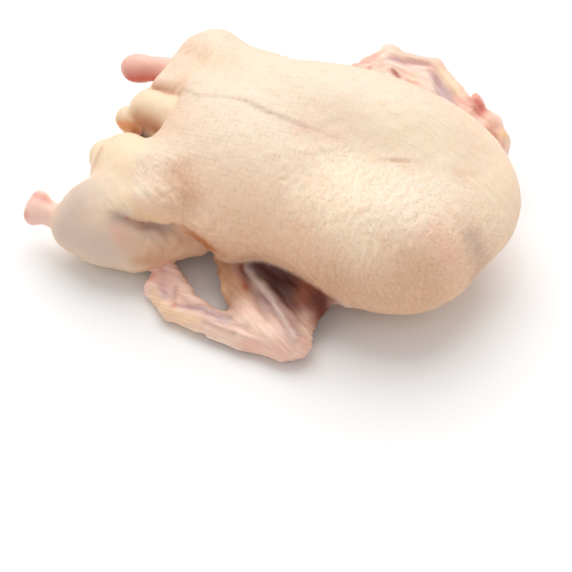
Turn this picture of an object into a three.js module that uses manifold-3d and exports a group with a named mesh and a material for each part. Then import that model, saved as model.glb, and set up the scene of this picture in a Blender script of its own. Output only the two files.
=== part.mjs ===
// A raw, plucked goose, drawn and trimmed for the oven, lying on its back with its skin on.
// Millimetres, +Z up. The neck end points along +X, the tail along -X, and the near side is -Y.
//
// A dressed bird has no flat face or straight edge, so it is described as lumps of flesh. Each lump is
// a function that gives the distance from a point to its skin, and lumps that grow together are
// blended. A net of small faces is then laid where the blended distance is zero.
import * as THREE from 'three'
import Module from 'manifold-3d'

const wasm = await Module()
wasm.setup()

// ---------------------------------------------------------------------------------------------
// Driving dimensions. A place is [x, y, z] and a half size is [x, y, z]. A limb has a girth radius
// at each joint.
// ---------------------------------------------------------------------------------------------

// The carcass lies a little askew: the keel leans to the near side and the neck end swings to it.
const CARCASS_MIDDLE = [-3, 9, 66]
const CARCASS_LEAN = 8
const CARCASS_SWING = -4
const CHEST = { at: [51, 9, 1], half: [117, 95, 56] }
const BELLY = { at: [-48, 7, 3], half: [112, 98, 60] }
const NEAR_BREAST = { at: [72, -57, 8], half: [74, 50, 56] }
const FAR_BREAST = { at: [22, 44, 19], half: [96, 46, 55] }
const BACK = { at: [-12, 0, -32], half: [136, 72, 36] }

// The near leg is pulled back flat on the table.
const NEAR_THIGH = { at: [-110, -34, 62], half: [56, 36, 36], turn: 10 }
const NEAR_FLANK = { at: [-150, -36, 56], half: [36, 34, 36] }
const NEAR_KNEE = [-97, -57, 31]
const NEAR_CALF = [-145, -72, 34]
const NEAR_SHIN = [-175, -74, 36]
const NEAR_ANKLE = [-197, -79, 34]
const NEAR_LEG_RADII = [17, 31, 33, 23]
const NEAR_HOCK = [-234, -75, 38]
const NEAR_KNUCKLES = [[-238, -81, 35], [-236, -68, 43]]

// The loose skin of the flank hangs over the near drumstick in a lip.
const FLANK_LIP = [
  [-155, -69, 67], [-138, -71, 71], [-122, -68, 74], [-108, -60, 74], [-96, -59, 71], [-83, -63, 65],
  [-71, -65, 53], [-62, -66, 42],
]
const FLANK_LIP_RADII = [10, 13, 14, 14, 14, 14, 14, 13]
const LIP_FADE = [-158, -128]
const HAUNCH = [[-156, -40, 58], [-185, -66, 50]]
const HAUNCH_RADII = [28, 20]

// The far leg stands up higher, with its hock bent over to the tail.
const FAR_KNEE = [-98, 84, 80]
const FAR_CALF = [-136, 100, 78]
const FAR_ANKLE = [-174, 91, 76]
const FAR_LEG_RADII = [31, 33, 17]
const FAR_HOCK = [-196, 90, 72]
const FAR_KNUCKLE = { at: [-207, 90, 70], half: [14, 13, 13] }
const FAR_LEG_SKIN = [[-167, 81, 89], [-171, 56, 90], [-133, 47, 104]]
const FAR_THIGH = { at: [-128, 68, 80], half: [44, 34, 26] }
const FAR_SKIN_END = { at: [-176, 90, 76], facing: [-0.923, 0.122, 0.361] }

// The vent end: the belly skin's cut edge, the folds that come out from under it, and the tail.
const BELLY_END = { at: [-138, 21, 109], facing: [-0.933, 0.319, 0.164] }
const UPPER_FOLD = [[-171, 36, 74], [-138, 24, 82]]
const UPPER_FOLD_RADII = [20, 22]
const FOLD_TIP = { at: [-190, 32, 62], half: [14, 12, 12] }
const VENT_CORE = { at: [-153, 20, 50], half: [38, 38, 28] }
const NEAR_FOLD = { at: [-170, -17, 54], half: [34, 31, 30] }
const TAIL = [[-184, 2, 42], [-199, -2, 44]]
const TAIL_RADII = [26, 17]
const TAIL_SKIRT = [[-178, -14, 46], [-174, -46, 42]]
const TAIL_SKIRT_RADII = [29, 26]

// The near wing is folded flat on the table, its tip tucked under the drumstick. Two bones run along
// each stretch of it, with thin skin between them.
const NEAR_ULNA = [[-64, -66, 24], [-48, -95, 20], [-25, -122, 16], [10, -134, 16]]
const NEAR_ULNA_RADII = [13, 12, 12, 13]
const NEAR_RADIUS = [[-48, -66, 22], [-15, -99, 20], [18, -130, 18]]
const NEAR_RADIUS_RADII = [8, 8, 9]
const NEAR_FOREARM_SKIN = [
  [[-53, -81, 16], [-30, -114, 13], [-17, -99, 16]], [[-30, -114, 13], [-17, -99, 16], [9, -124, 14]],
]
const NEAR_HAND = [
  [17, -132, 16], [-31, -136, 13], [-68, -131, 11], [-96, -127, 10], [-119, -107, 9], [-120, -82, 9],
]
const NEAR_HAND_RADII = [13, 9, 8.5, 8, 7, 7]
const NEAR_INNER_HAND = [[-4, -125, 15], [-44, -124, 12], [-68, -119, 10], [-88, -107, 10], [-112, -82, 9]]
const NEAR_INNER_HAND_RADII = [9, 7, 6.5, 7, 7]
const NEAR_QUILL_BED = [[7, -140, 12], [-55, -137, 9]]
const NEAR_HAND_SKIN = [
  [[-34, -127, 8], [-88, -107, 7], [-98, -122, 7]], [[-120, -105, 7], [-89, -105, 7], [-98, -122, 7]],
  [[-120, -105, 7], [-89, -105, 7], [-115, -81, 7]],
]
const NEAR_ELBOW = [-60, -56, 25]
const NEAR_SHOULDER = [45, -78, 38]
const NEAR_STRETCHED_SKIN = [[-49, -65, 18], [19, -119, 12], [27, -93, 26]]

// The far wing stands out from the shoulder, with its tip back under the neck end.
const FAR_SHOULDER = [20, 92, 64]
const FAR_WING_EDGE = [
  [-13, 169, 64], [7, 179, 70], [28, 177, 71], [51, 175, 70], [76, 154, 66], [92, 140, 62],
]
const FAR_WING_EDGE_RADII = [5, 6, 5, 7, 6, 6]
const FAR_HAND = [[97, 143, 60], [113, 132, 56], [125, 121, 48], [127, 112, 42]]
const FAR_HAND_RADII = [6, 9, 8.5, 8]
const FAR_THUMB = [[100, 145, 61], [94, 154, 64]]
const FAR_WING_ROOT = [55, 96, 64]
const FAR_HAND_ROOT = [98, 84, 58]
const FAR_ELBOW_SKIN = [-24, 150, 66]
const FAR_ARMPIT = [-8, 98, 66]
const WING_SKIN_RADIUS = 5


// How far two lumps run into each other where they meet, from a sharp crease to loose flesh.
const CREASE = 3
const TIGHT = 6
const SOFT = 12
const LOOSE = 18
const FLESH = 28

// Sizes of the net's faces: coarse on the breast, finer at the tail end and on the wings.
const BREAST_NET = 14
const TAIL_NET = 6.9
const NET_CHANGES = { from: -170, to: 0 }
const WING_NET = 5.7
const SLOPE_STEP = 0.4
const SETTLING_STEPS = 4

const SKIN = { name: 'skin', color: 0xefd3b8, roughness: 0.5, metalness: 0 }

// ---------------------------------------------------------------------------------------------
// Lumps. Each of these returns a function of a point: its distance outside the skin, negative inside.
// ---------------------------------------------------------------------------------------------

// An ellipsoid, turned about Z by some degrees.
function ovoid({ at, half, turn = 0 }) {
  const angle = THREE.MathUtils.degToRad(turn)
  const cos = Math.cos(angle)
  const sin = Math.sin(angle)
  return ([x, y, z]) => {
    const dx = x - at[0]
    const dy = y - at[1]
    const u = (dx * cos + dy * sin) / half[0]
    const v = (dy * cos - dx * sin) / half[1]
    const w = (z - at[2]) / half[2]
    const reach = Math.hypot(u, v, w)
    const slope = Math.hypot(u / half[0], v / half[1], w / half[2])
    return slope > 0 ? (reach * (reach - 1)) / slope : -Math.min(...half)
  }
}

// A straight stretch of limb from a to b, whose radius changes evenly along it.
function limb(a, b, radiusA, radiusB) {
  const along = b.map((value, axis) => value - a[axis])
  const lengthSquared = along.reduce((sum, value) => sum + value * value, 0)
  return ([x, y, z]) => {
    const dx = x - a[0]
    const dy = y - a[1]
    const dz = z - a[2]
    const share = THREE.MathUtils.clamp(
      (dx * along[0] + dy * along[1] + dz * along[2]) / lengthSquared, 0, 1)
    const gap = Math.hypot(dx - share * along[0], dy - share * along[1], dz - share * along[2])
    return gap - THREE.MathUtils.lerp(radiusA, radiusB, share)
  }
}

// A flap of skin stretched between three places, as thick as twice its radius.
function flap(places, radius) {
  const triangle = new THREE.Triangle(...places.map((place) => new THREE.Vector3(...place)))
  const point = new THREE.Vector3()
  const nearest = new THREE.Vector3()
  return ([x, y, z]) => {
    point.set(x, y, z)
    triangle.closestPointToPoint(point, nearest)
    return nearest.distanceTo(point) - radius
  }
}

// Lumps that grow together. The softness is how deep the flesh fills the valley between them: a number,
// or a function of the point.
function blend(softness, ...lumps) {
  return (point) => {
    const depth = typeof softness === 'number' ? softness : softness(point)
    return lumps.map((lump) => lump(point)).reduce((a, b) => {
      const overlap = Math.max(depth - Math.abs(a - b), 0)
      return Math.min(a, b) - (overlap * overlap) / (4 * depth)
    })
  }
}

// A chain of limb stretches through a list of joints.
function chain(joints, radii, softness) {
  const stretches = joints.slice(1).map((joint, i) => limb(joints[i], joint, radii[i], radii[i + 1]))
  return blend(softness, ...stretches)
}

// A lump with a hole cut in it. The softness rounds the edge.
function carve(softness, lump, hole) {
  const left = blend(softness, (point) => -lump(point), hole)
  return (point) => -left(point)
}

// Everything beyond a flat cut.
function beyond({ at, facing }) {
  return (point) => facing.reduce((sum, value, axis) => sum + value * (at[axis] - point[axis]), 0)
}

// The same lump seen from the carcass's own axes, which lean and swing.
function inCarcassAxes(lump) {
  const swing = THREE.MathUtils.degToRad(CARCASS_SWING)
  const lean = THREE.MathUtils.degToRad(CARCASS_LEAN)
  return ([x, y, z]) => {
    const dx = x - CARCASS_MIDDLE[0]
    const dy = y - CARCASS_MIDDLE[1]
    const dz = z - CARCASS_MIDDLE[2]
    const forward = dx * Math.cos(swing) + dy * Math.sin(swing)
    const sideways = dy * Math.cos(swing) - dx * Math.sin(swing)
    return lump([
      forward,
      sideways * Math.cos(lean) + dz * Math.sin(lean),
      dz * Math.cos(lean) - sideways * Math.sin(lean),
    ])
  }
}

// ---------------------------------------------------------------------------------------------
// The bird's parts
// ---------------------------------------------------------------------------------------------

function carcass() {
  const trunk = blend(36, ovoid(CHEST), ovoid(BELLY))
  const breasted = blend(30, trunk, ovoid(NEAR_BREAST), ovoid(FAR_BREAST))
  return carve(CREASE, inCarcassAxes(blend(FLESH, breasted, ovoid(BACK))), beyond(BELLY_END))
}

// The drumstick runs smoothly into the haunch, but the lip of skin over its knee stands clear of it.
function nearLeg(trunk) {
  const thigh = blend(16, ovoid(NEAR_THIGH), ovoid(NEAR_FLANK))
  const lip = chain(FLANK_LIP, FLANK_LIP_RADII, TIGHT)
  const flank = blend(LOOSE, blend(16, trunk, thigh), lip)
  const haunch = chain(HAUNCH, HAUNCH_RADII, TIGHT)
  const drumstick = chain([NEAR_KNEE, NEAR_CALF, NEAR_SHIN, NEAR_ANKLE], NEAR_LEG_RADII, 10)
  const softness = ([x]) => {
    const share = THREE.MathUtils.clamp(THREE.MathUtils.inverseLerp(...LIP_FADE, x), 0, 1)
    return THREE.MathUtils.lerp(22, 2, share)
  }
  return blend(softness, blend(10, flank, haunch), drumstick)
}

function nearHock() {
  return blend(TIGHT, limb(NEAR_ANKLE, NEAR_HOCK, 11, 11), limb(...NEAR_KNUCKLES, 8, 8))
}

function farLeg() {
  const drumstick = chain([FAR_KNEE, FAR_CALF, FAR_ANKLE], FAR_LEG_RADII, 16)
  const leg = blend(SOFT, drumstick, flap(FAR_LEG_SKIN, 8), ovoid(FAR_THIGH))
  return carve(2, leg, beyond(FAR_SKIN_END))
}

function farHock() {
  return blend(8, limb(FAR_ANKLE, FAR_HOCK, 11, 11), ovoid(FAR_KNUCKLE))
}

// The bird without its wings and hocks: what whole, pale skin covers.
function covered() {
  const trunkAndLegs = blend(FLESH, nearLeg(carcass()), farLeg())
  const haunches = blend(CREASE, blend(SOFT, trunkAndLegs, ovoid(NEAR_FOLD)), ovoid(VENT_CORE))
  const rump = chain(TAIL, TAIL_RADII, TIGHT)
  const skirt = chain(TAIL_SKIRT, TAIL_SKIRT_RADII, TIGHT)
  const tailed = blend(TIGHT, haunches, blend(TIGHT, rump, skirt))
  const upperFold = blend(4, limb(...UPPER_FOLD, ...UPPER_FOLD_RADII), ovoid(FOLD_TIP))
  return blend(CREASE, tailed, upperFold)
}

function nearForearm() {
  const bones = blend(4, chain(NEAR_ULNA, NEAR_ULNA_RADII, 4), chain(NEAR_RADIUS, NEAR_RADIUS_RADII, 4))
  return blend(5, bones, ...NEAR_FOREARM_SKIN.map((corners) => flap(corners, 8)))
}

function nearHand() {
  const outer = chain(NEAR_HAND, NEAR_HAND_RADII, 4)
  const inner = chain(NEAR_INNER_HAND, NEAR_INNER_HAND_RADII, 4)
  const quillBed = limb(...NEAR_QUILL_BED, 9, 6)
  const skins = NEAR_HAND_SKIN.map((corners) => flap(corners, WING_SKIN_RADIUS))
  return blend(CREASE, outer, inner, quillBed, ...skins)
}

function nearWing() {
  const [elbowEnd, wristEnd, bodyEnd] = NEAR_STRETCHED_SKIN
  const upperArm = limb(NEAR_SHOULDER, NEAR_ELBOW, 17, 16)
  const stretchedSkin = flap([elbowEnd, wristEnd, bodyEnd], WING_SKIN_RADIUS)
  const shoulderSkin = flap([elbowEnd, bodyEnd, NEAR_SHOULDER], WING_SKIN_RADIUS)
  return blend(5, blend(TIGHT, nearForearm(), nearHand()), stretchedSkin, shoulderSkin, upperArm)
}

function farWing() {
  const [elbow, bend, wrist] = [FAR_WING_EDGE[1], FAR_WING_EDGE[3], FAR_WING_EDGE[5]]
  const skins = [
    [FAR_ARMPIT, FAR_ELBOW_SKIN, elbow],
    [FAR_ARMPIT, elbow, FAR_WING_ROOT],
    [elbow, bend, FAR_WING_ROOT],
    [bend, wrist, FAR_WING_ROOT],
    [wrist, FAR_HAND_ROOT, FAR_WING_ROOT],
    [wrist, FAR_HAND[1], FAR_HAND_ROOT],
  ].map((corners) => flap(corners, 4))
  const edge = chain(FAR_WING_EDGE, FAR_WING_EDGE_RADII, 4)
  const hand = chain(FAR_HAND, FAR_HAND_RADII, TIGHT)
  const inner = blend(8, limb(FAR_SHOULDER, elbow, 15, 8), ...skins)
  return blend(4, inner, edge, hand, limb(...FAR_THUMB, 6, 3.5))
}

// ---------------------------------------------------------------------------------------------
// The net of faces
// ---------------------------------------------------------------------------------------------

// Sample planes along X, set closer together where the net is finer.
function planesAlong(low, high, sizeAt) {
  const planes = [low]
  while (planes[planes.length - 1] < high) {
    const last = planes[planes.length - 1]
    planes.push(last + sizeAt(last))
  }
  return planes
}

// Slides a point along the slope of the distance until it lies on the skin.
function settle(lump, start, furthest) {
  let point = start
  for (let step = 0; step < SETTLING_STEPS; step += 1) {
    const height = lump(point)
    const slope = point.map((value, axis) => {
      const ahead = point.with(axis, value + SLOPE_STEP)
      const behind = point.with(axis, value - SLOPE_STEP)
      return (lump(ahead) - lump(behind)) / (2 * SLOPE_STEP)
    })
    const steepness = slope.reduce((sum, value) => sum + value * value, 0)
    const move = height / Math.max(steepness, 0.1)
    point = point.map((value, axis) => value - move * slope[axis])
  }
  const moved = new THREE.Vector3(...point).sub(new THREE.Vector3(...start))
  moved.clampLength(0, furthest)
  return start.map((value, axis) => value + moved.getComponent(axis))
}

// Lays the net round a lump. The sample grid spans the box from low to high, and its cells are cubes
// whose size depends on x, so the grid narrows to a wedge where they are small.
function netRound(lump, low, high, sizeAt) {
  const planes = planesAlong(low[0], high[0], sizeAt)
  const smallest = Math.min(...planes.map(sizeAt))
  const rows = Math.ceil(Math.max(-low[1], high[1]) / smallest)
  const below = Math.ceil(-low[2] / smallest) + 0.5
  const above = Math.ceil(high[2] / smallest)
  const counts = [planes.length, 2 * rows + 1, Math.ceil(below + above)]
  const indexOf = (i, j, k) => (i * counts[1] + j) * counts[2] + k
  const placeOf = (i, j, k) => {
    const size = sizeAt(planes[i])
    return [planes[i], (j - rows) * size, (k - below) * size]
  }

  const distances = new Float64Array(counts[0] * counts[1] * counts[2])
  for (let i = 0; i < counts[0]; i += 1) {
    for (let j = 0; j < counts[1]; j += 1) {
      for (let k = 0; k < counts[2]; k += 1) {
        distances[indexOf(i, j, k)] = lump(placeOf(i, j, k))
      }
    }
  }

  // One corner of the net in each cell that the skin passes through, at the mean of its crossings.
  const steps = [[1, 0, 0], [0, 1, 0], [0, 0, 1]]
  const positions = []
  const cornerOf = new Map()
  const cornerIn = (i, j, k) => {
    const key = indexOf(i, j, k)
    if (cornerOf.has(key)) return cornerOf.get(key)
    const crossings = []
    for (let edge = 0; edge < 12; edge += 1) {
      const axis = edge >> 2
      const [first, second] = [(axis + 1) % 3, (axis + 2) % 3]
      const a = [i, j, k]
      a[first] += edge & 1
      a[second] += (edge >> 1) & 1
      const b = a.map((value, n) => value + steps[axis][n])
      const da = distances[indexOf(...a)]
      const db = distances[indexOf(...b)]
      if (da < 0 === db < 0) continue
      const share = da / (da - db)
      const [from, to] = [placeOf(...a), placeOf(...b)]
      crossings.push(from.map((value, n) => value + share * (to[n] - value)))
    }
    const mean = [0, 1, 2].map((n) => crossings.reduce((sum, c) => sum + c[n], 0) / crossings.length)
    const corner = positions.length / 3
    positions.push(...settle(lump, mean, sizeAt(planes[i]) / 2))
    cornerOf.set(key, corner)
    return corner
  }

  // A four-sided face round each grid edge that crosses the skin, split along its shorter diagonal.
  const triangles = []
  const apart = (a, b) => Math.hypot(...[0, 1, 2].map((n) => positions[3 * a + n] - positions[3 * b + n]))
  const addFace = (a, b, c, d) => {
    if (apart(a, c) < apart(b, d)) triangles.push(a, b, c, a, c, d)
    else triangles.push(a, b, d, b, c, d)
  }
  for (let i = 1; i < counts[0] - 1; i += 1) {
    for (let j = 1; j < counts[1] - 1; j += 1) {
      for (let k = 1; k < counts[2] - 1; k += 1) {
        const here = distances[indexOf(i, j, k)] < 0
        for (let axis = 0; axis < 3; axis += 1) {
          const ahead = [i, j, k].map((value, n) => value + steps[axis][n])
          if (here === distances[indexOf(...ahead)] < 0) continue
          const one = steps[(axis + 1) % 3]
          const two = steps[(axis + 2) % 3]
          const around = [[0, 0], [1, 0], [1, 1], [0, 1]].map(([m, n]) => cornerIn(
            i - m * one[0] - n * two[0], j - m * one[1] - n * two[1], k - m * one[2] - n * two[2]))
          if (here) addFace(...around)
          else addFace(...around.reverse())
        }
      }
    }
  }
  return new wasm.Manifold(new wasm.Mesh({
    numProp: 3,
    vertProperties: Float32Array.from(positions),
    triVerts: Uint32Array.from(triangles),
  }))
}

// Net size along the body: fine at the tail end, coarse on the breast.
function bodyNetSize(x) {
  const share = THREE.MathUtils.smoothstep(x, NET_CHANGES.from, NET_CHANGES.to)
  return THREE.MathUtils.lerp(TAIL_NET, BREAST_NET, share)
}

// ---------------------------------------------------------------------------------------------
// The whole bird
// ---------------------------------------------------------------------------------------------

function gooseSolid() {
  const body = blend(CREASE, covered(), nearHock(), farHock())
  const bodySolid = netRound(body, [-262, -150, -12], [190, 150, 150], bodyNetSize)
  const nearWingSolid = netRound(nearWing(), [-154, -170, -12], [80, 0, 70], () => WING_NET)
  const farWingSolid = netRound(farWing(), [-50, 0, 0], [170, 200, 100], () => WING_NET)
  const bird = bodySolid.add(nearWingSolid).add(farWingSolid)
  return bird.trimByPlane([0, 0, 1], 0)
}

// A three.js geometry of the solid, moved so that it stands on the table round the origin.
function standingGeometry(solid) {
  const mesh = solid.getMesh()
  const geometry = new THREE.BufferGeometry()
  geometry.setAttribute('position', new THREE.BufferAttribute(mesh.vertProperties, 3))
  geometry.setIndex(new THREE.BufferAttribute(mesh.triVerts, 1))
  geometry.computeBoundingBox()
  const middle = geometry.boundingBox.getCenter(new THREE.Vector3())
  geometry.translate(-middle.x, -middle.y, -geometry.boundingBox.min.z)
  geometry.computeVertexNormals()
  return geometry
}

const goose = new THREE.Mesh(standingGeometry(gooseSolid()), new THREE.MeshStandardMaterial(SKIN))
goose.name = 'goose'

const bird = new THREE.Group()
bird.add(goose)

export default bird
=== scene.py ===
"""A raw, plucked goose that lies on its back.

The bird is described as lumps of flesh, in millimetres: each lump is a distance from the skin, and lumps
that grow together are blended. A fine net is laid where the blended distance is zero, small relief is
pressed into it, and the regions of the skin are painted on its vertices for the material to read.
"""
import math
from itertools import product

import bpy
import numpy as np
from mathutils import Matrix, Vector


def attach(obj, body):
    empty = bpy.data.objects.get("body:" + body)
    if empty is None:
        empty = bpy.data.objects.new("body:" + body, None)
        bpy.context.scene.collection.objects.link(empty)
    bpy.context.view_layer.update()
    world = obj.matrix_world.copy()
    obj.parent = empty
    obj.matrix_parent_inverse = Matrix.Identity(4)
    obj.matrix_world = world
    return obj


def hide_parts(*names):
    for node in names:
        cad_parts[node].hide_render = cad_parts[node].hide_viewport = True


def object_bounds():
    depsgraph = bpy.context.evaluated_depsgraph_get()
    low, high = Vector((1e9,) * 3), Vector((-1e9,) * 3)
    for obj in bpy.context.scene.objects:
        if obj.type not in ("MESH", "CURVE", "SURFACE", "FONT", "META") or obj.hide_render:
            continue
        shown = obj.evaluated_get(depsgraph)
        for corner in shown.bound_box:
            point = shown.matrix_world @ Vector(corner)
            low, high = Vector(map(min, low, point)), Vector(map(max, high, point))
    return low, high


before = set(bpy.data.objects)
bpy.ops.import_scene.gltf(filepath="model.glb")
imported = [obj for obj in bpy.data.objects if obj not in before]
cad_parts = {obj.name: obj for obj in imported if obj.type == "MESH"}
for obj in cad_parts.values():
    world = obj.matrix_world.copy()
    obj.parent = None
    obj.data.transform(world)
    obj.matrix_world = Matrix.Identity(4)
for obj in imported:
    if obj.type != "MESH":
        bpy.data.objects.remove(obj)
cad_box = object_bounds()

# ---- Driving dimensions, in millimetres and degrees ----
# The neck end points along +X, and the near side is -Y.

# The carcass lies a little askew: the keel leans to the near side and the neck end swings to it.
CARCASS_MIDDLE = (-3, 9, 66)
CARCASS_LEAN = 8
CARCASS_SWING = -4
CHEST = dict(at=(51, 9, 1), half=(117, 95, 56))
BELLY = dict(at=(-48, 7, 3), half=(112, 98, 60))
NEAR_BREAST = dict(at=(72, -57, 8), half=(74, 50, 56))
FAR_BREAST = dict(at=(22, 44, 19), half=(96, 46, 55))
BACK = dict(at=(-12, 0, -32), half=(136, 72, 36))

# The near leg is pulled back flat on the table.
NEAR_THIGH = dict(at=(-110, -34, 62), half=(56, 36, 36), turn=10)
NEAR_FLANK = dict(at=(-150, -36, 56), half=(36, 34, 36))
NEAR_KNEE = (-97, -57, 31)
NEAR_CALF = (-145, -72, 34)
NEAR_SHIN = (-175, -74, 36)
NEAR_ANKLE = (-197, -79, 34)
NEAR_LEG_RADII = (17, 31, 33, 23)
NEAR_HOCK = (-234, -75, 38)
NEAR_KNUCKLES = ((-238, -81, 35), (-236, -68, 43))
SHANK_RADIUS = 11
KNUCKLE_RADIUS = 8

# The loose skin of the flank hangs over the near drumstick in a lip. Along X, between the two places of
# LIP_FADE, it goes from grown fast on the drumstick to hanging free of it.
FLANK_LIP = ((-155, -69, 67), (-138, -71, 71), (-122, -68, 74), (-108, -60, 74), (-96, -59, 71),
             (-83, -63, 65), (-71, -65, 53), (-62, -66, 42))
FLANK_LIP_RADII = (10, 13, 14, 14, 14, 14, 14, 13)
LIP_FADE = (-158, -128)
LIP_SOFTNESS = (22, 2)
HAUNCH = ((-156, -40, 58), (-185, -66, 50))
HAUNCH_RADII = (28, 20)

# The far leg stands up higher, with its hock bent over to the tail.
FAR_KNEE = (-98, 84, 80)
FAR_CALF = (-136, 100, 78)
FAR_ANKLE = (-174, 91, 76)
FAR_LEG_RADII = (31, 33, 17)
FAR_HOCK = (-196, 90, 72)
FAR_KNUCKLE = dict(at=(-207, 90, 70), half=(14, 13, 13))
FAR_LEG_SKIN = ((-167, 81, 89), (-171, 56, 90), (-133, 47, 104))
FAR_THIGH = dict(at=(-128, 68, 80), half=(44, 34, 26))
FAR_SKIN_END = dict(at=(-176, 90, 76), facing=(-0.923, 0.122, 0.361))

# The vent end: the belly skin's cut edge, the folds that come out from under it, and the tail.
BELLY_END = dict(at=(-138, 21, 109), facing=(-0.933, 0.319, 0.164))
UPPER_FOLD = ((-171, 36, 74), (-138, 24, 82))
UPPER_FOLD_RADII = (20, 22)
FOLD_TIP = dict(at=(-190, 32, 62), half=(14, 12, 12))
VENT_SLIT = ((-199, 21, 61), (-180, 15, 68), (-155, -5, 82))
VENT_SLIT_RADII = (6, 6, 5)
VENT_CORE = dict(at=(-153, 20, 50), half=(38, 38, 28))
NEAR_FOLD = dict(at=(-170, -17, 54), half=(34, 31, 30))
TAIL = ((-184, 2, 42), (-199, -2, 44))
TAIL_RADII = (26, 17)
TAIL_SKIRT = ((-178, -14, 46), (-174, -46, 42))
TAIL_SKIRT_RADII = (29, 26)

# The near wing is folded flat on the table, its tip tucked under the drumstick. Two bones run along
# each stretch of it, with thin skin between them.
NEAR_ULNA = ((-64, -66, 24), (-48, -95, 20), (-25, -122, 16), (10, -134, 16))
NEAR_ULNA_RADII = (13, 12, 12, 13)
NEAR_RADIUS = ((-48, -66, 22), (-15, -99, 20), (18, -130, 18))
NEAR_RADIUS_RADII = (8, 8, 9)
NEAR_FOREARM_SKIN = (((-53, -81, 16), (-30, -114, 13), (-17, -99, 16)),
                     ((-30, -114, 13), (-17, -99, 16), (9, -124, 14)))
NEAR_HAND = ((17, -132, 16), (-31, -136, 13), (-68, -131, 11), (-96, -127, 10), (-119, -107, 9),
             (-120, -82, 9))
NEAR_HAND_RADII = (13, 9, 8.5, 8, 7, 7)
NEAR_INNER_HAND = ((-4, -125, 15), (-44, -124, 12), (-68, -119, 10), (-88, -107, 10), (-112, -82, 9))
NEAR_INNER_HAND_RADII = (9, 7, 6.5, 7, 7)
NEAR_QUILL_BED = ((7, -140, 12), (-55, -137, 9))
NEAR_QUILL_BED_RADII = (9, 6)
NEAR_HAND_SKIN = (((-34, -127, 8), (-88, -107, 7), (-98, -122, 7)),
                  ((-120, -105, 7), (-89, -105, 7), (-98, -122, 7)),
                  ((-120, -105, 7), (-89, -105, 7), (-115, -81, 7)))
NEAR_ELBOW = (-60, -56, 25)
NEAR_SHOULDER = (45, -78, 38)
NEAR_UPPER_ARM_RADII = (17, 16)
NEAR_STRETCHED_SKIN = ((-49, -65, 18), (19, -119, 12), (27, -93, 26))

# The far wing stands out from the shoulder, with its tip back under the neck end.
FAR_SHOULDER = (20, 92, 64)
FAR_UPPER_ARM_RADII = (15, 8)
FAR_WING_EDGE = ((-13, 169, 64), (7, 179, 70), (28, 177, 71), (51, 175, 70), (76, 154, 66),
                 (92, 140, 62))
FAR_WING_EDGE_RADII = (5, 6, 5, 7, 6, 6)
FAR_HAND = ((97, 143, 60), (113, 132, 56), (125, 121, 48), (127, 112, 42))
FAR_HAND_RADII = (6, 9, 8.5, 8)
FAR_THUMB = ((100, 145, 61), (94, 154, 64))
FAR_THUMB_RADII = (6, 3.5)
FAR_WING_ROOT = (55, 96, 64)
FAR_HAND_ROOT = (98, 84, 58)
FAR_ELBOW_SKIN = (-24, 150, 66)
FAR_ARMPIT = (-8, 98, 66)

# Half the thickness of the skin that is stretched between bones.
THIN_FLAP = 4
MIDDLING_FLAP = 5
THICK_FLAP = 8

# How far two lumps run into each other where they meet, from a cut edge to the meat of the trunk.
CUT_EDGE = 2
CREASE = 3
FOLD = 4
WEB = 5
TIGHT = 6
KNUCKLE = 8
HAUNCH_MEAT = 10
SOFT = 12
THIGH_MEAT = 16
LOOSE = 18
FLESH = 28
BREAST_MEAT = 30
TRUNK_MEAT = 36

# Lines along which the skin is folded or creased. All their places lie on the skin. The belly skin
# overlaps along a seam from the vent to the keel.
BELLY_SEAM = ((-171, 47, 92), (-161, 43, 95), (-143, 34, 104), (-119, 23, 118), (-77, 18, 128),
              (-51, 8, 130), (-18, 0, 131), (4, -3, 131), (39, -6, 127))
BREAST_DIMPLE = ((50, -12, 124), (65, -8, 124), (81, -3, 122))
NECK_DIMPLE = ((110, 1, 115), (126, 8, 110))
LIP_EDGE = ((-158, -88, 70), (-147, -88, 68), (-132, -85, 63), (-120, -80, 62), (-103, -77, 62),
            (-92, -80, 61), (-79, -82, 54), (-66, -82, 46))
TAIL_GROOVE = ((-198, -34, 64), (-196, -29, 70), (-196, -22, 73))
CRINKLED = (((84, -102, 68), (104, -98, 72)), ((116, -2, 113), (138, -4, 105)))
WRINKLE_RUN = ((-139, -50, 93), (-126, -58, 93), (-110, -68, 91), (-96, -76, 79), (-82, -83, 64))
WRINKLE_STEPS = ((0, 0, 0), (-5, -9, -2), (-9, -16, -6), (8, 8, 3), (17, 13, 5))

# The unrolled skin is measured round a circle whose middle lies a little under the carcass's own. Fibres
# run along the folded wing's hand and forearm, of which the hand goes first, and along the far wing.
GIRTH_RADIUS = 88
GIRTH_DROP = 20
HAND_RUN = (0.995, -0.1, 0)
FOREARM_RUN = (0.8, -0.6, 0)
FIBRE_SLANT = 0.6
FAR_WING_SPREAD = 1.6
HAND_FIRST = 1

NET_LOW = (-262, -172, -8)
NET_HIGH = (186, 200, 156)
NET_SIZE = 1.95
COARSE_STRIDE = 4
NEAR_SKIN = 1.3
BLOCK_SIZE = 200000
SLOPE_STEP = 0.3
SETTLING_STEPS = 3
LEAST_STEEPNESS = 0.1
TINY = 1e-9

MM = 0.001


# ---- Lumps: each takes an array of points and gives their distances outside the skin ----

def ovoid(points, at, half, turn=0):
    """An ellipsoid, turned about Z by some degrees."""
    half = np.asarray(half, points.dtype)
    offset = points - np.asarray(at, points.dtype)
    if turn:
        cos, sin = math.cos(math.radians(turn)), math.sin(math.radians(turn))
        offset = np.stack([offset[:, 0] * cos + offset[:, 1] * sin,
                           offset[:, 1] * cos - offset[:, 0] * sin, offset[:, 2]], 1)
    share = offset / half
    reach = np.sqrt((share * share).sum(1))
    share /= half
    slope = np.sqrt((share * share).sum(1))
    return reach * (reach - 1) / np.maximum(slope, TINY)


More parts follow.
